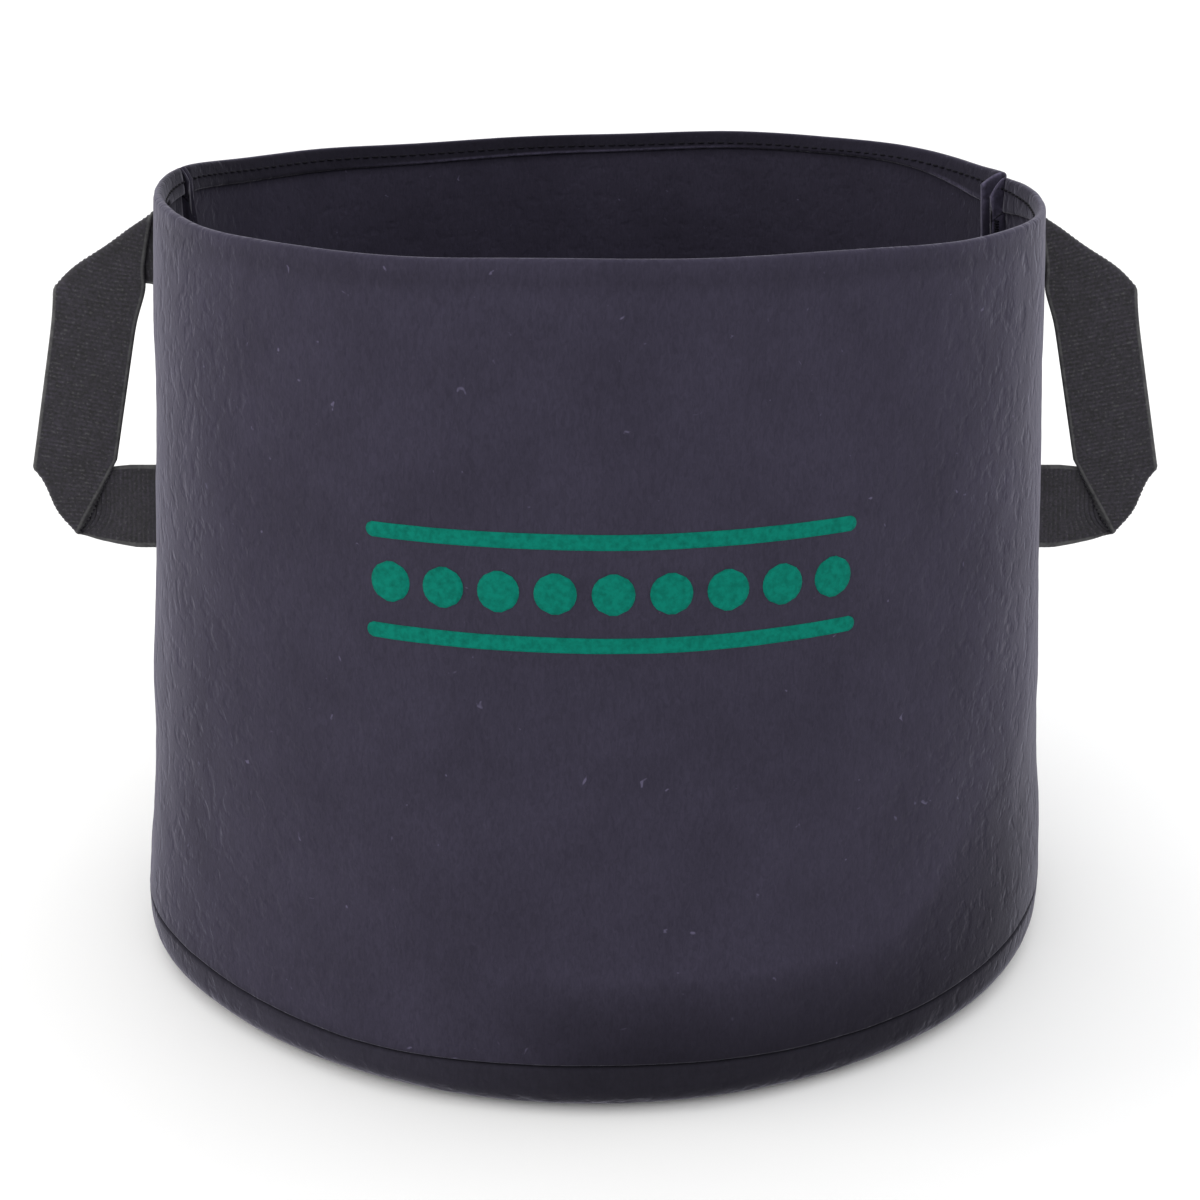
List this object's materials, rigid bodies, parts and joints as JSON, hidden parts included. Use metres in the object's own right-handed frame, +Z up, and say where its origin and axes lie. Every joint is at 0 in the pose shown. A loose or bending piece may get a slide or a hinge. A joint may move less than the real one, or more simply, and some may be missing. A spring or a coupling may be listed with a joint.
{
  "type": "fabric grow bag",
  "caption": "Round open-topped planting bag of thick dark felt, slightly wider at the foot, with a turned-up base and folded webbing carrying handles in its side seams.",
  "frame": {"origin": "on the floor, under the middle of the bag", "axes": "+Z up, front of the bag faces -Y, handles stand out along -X (left) and +X (right)"},
  "size_m": [0.414, 0.3218, 0.2549],
  "materials": {
    "wall_felt": "needle-punched felt, charcoal with a violet cast",
    "base_felt": "needle-punched felt, charcoal",
    "webbing": "ribbed polypropylene webbing, black-grey",
    "thread": "polyester sewing thread, near black"
  },
  "bodies": {
    "bag": {"front_wall_panel": "wall_felt", "back_wall_panel": "wall_felt", "base_panel": "base_felt", "hem_stitching": "thread", "base_seam_stitching": "thread", "right_seam_stitching": "thread", "left_seam_stitching": "thread", "right_handle_upper_end": "webbing", "right_handle_lower_end": "webbing", "left_handle_upper_end": "webbing", "left_handle_lower_end": "webbing", "right_upper_bar_tack": "thread", "right_lower_bar_tack": "thread", "left_upper_bar_tack": "thread", "left_lower_bar_tack": "thread"},
    "right_handle": {"right_handle_loop": "webbing"},
    "left_handle": {"left_handle_loop": "webbing"}
  },
  "joints": [
    {"name": "right_handle_swing", "type": "hinge", "parent": "bag", "child": "right_handle", "pos_m": [0.1533, 0.0298, 0.18], "axis": [0, 0, 1], "range_deg": [-74, 96]},
    {"name": "left_handle_swing", "type": "hinge", "parent": "bag", "child": "left_handle", "pos_m": [-0.1533, 0.0298, 0.18], "axis": [0, 0, 1], "range_deg": [-96, 74]}
  ]
}
